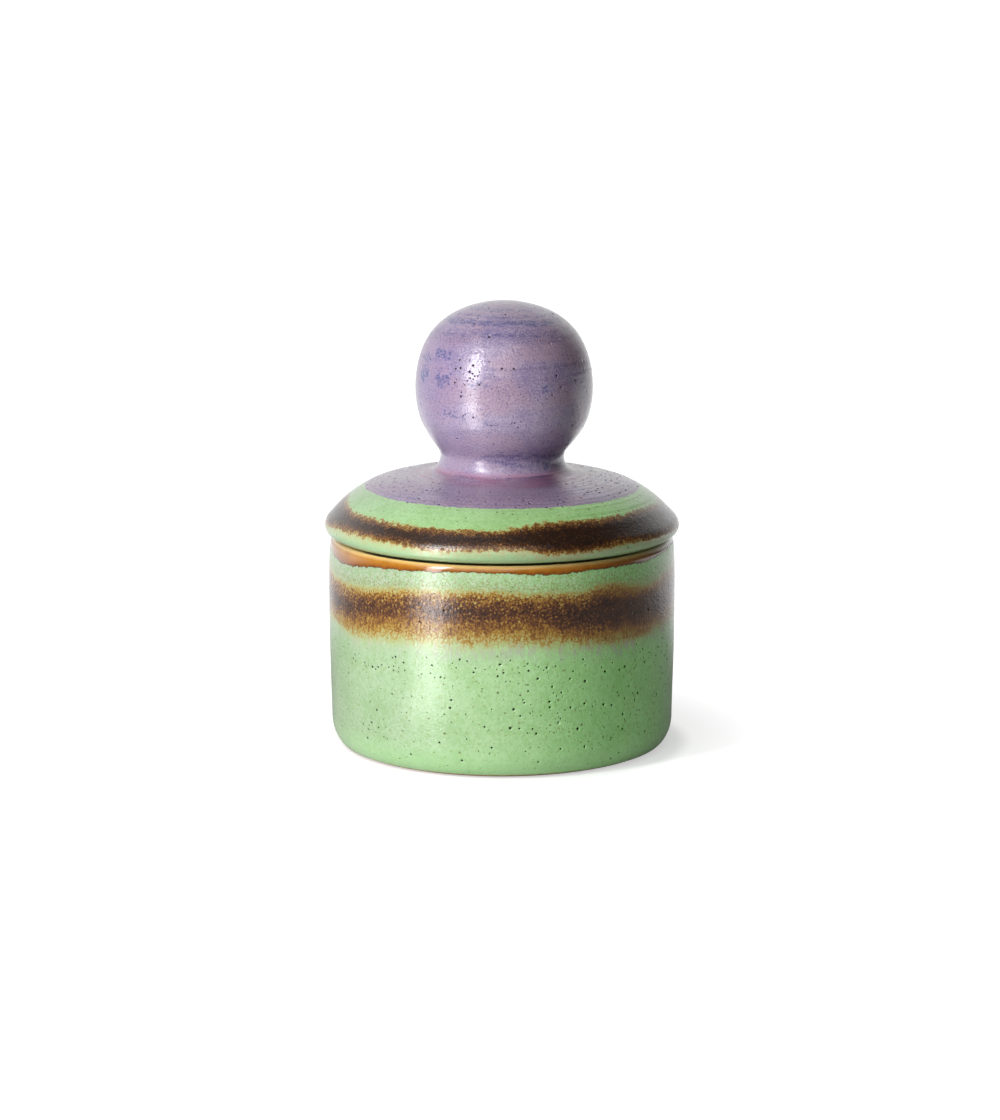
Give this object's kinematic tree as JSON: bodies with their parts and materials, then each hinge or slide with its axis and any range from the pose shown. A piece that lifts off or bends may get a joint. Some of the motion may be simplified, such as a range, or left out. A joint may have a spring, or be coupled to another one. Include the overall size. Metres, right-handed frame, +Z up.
{
  "type": "stoneware storage jar",
  "caption": "Round glazed stoneware storage jar with a domed lid that lifts off by a hollow ball knob.",
  "frame": {"origin": "centre of the foot ring, on the surface that the jar stands on", "axes": "+Z up along the jar's axis of revolution; +X to the right and +Y away from the viewer of the picture"},
  "size_m": [0.11, 0.11, 0.1399],
  "materials": {
    "jar_glaze": "satin light green glaze, speckled and pinholed, with a brown band below an amber rim, over buff stoneware",
    "lid_glaze": "mauve glaze round the knob, then a green ring and a wavy brown band at the shoulder, satin to glossy",
    "knob_glaze": "satin mauve glaze with blue brushed streaks and small dark pinholes"
  },
  "bodies": {
    "jar": {"jar": "jar_glaze"},
    "lid": {"lid": "lid_glaze", "knob": "knob_glaze"}
  },
  "joints": [
    {"name": "lid_lift", "type": "slide", "parent": "jar", "child": "lid", "axis": [0, 0, 1], "range_m": [0, 0.12]}
  ]
}
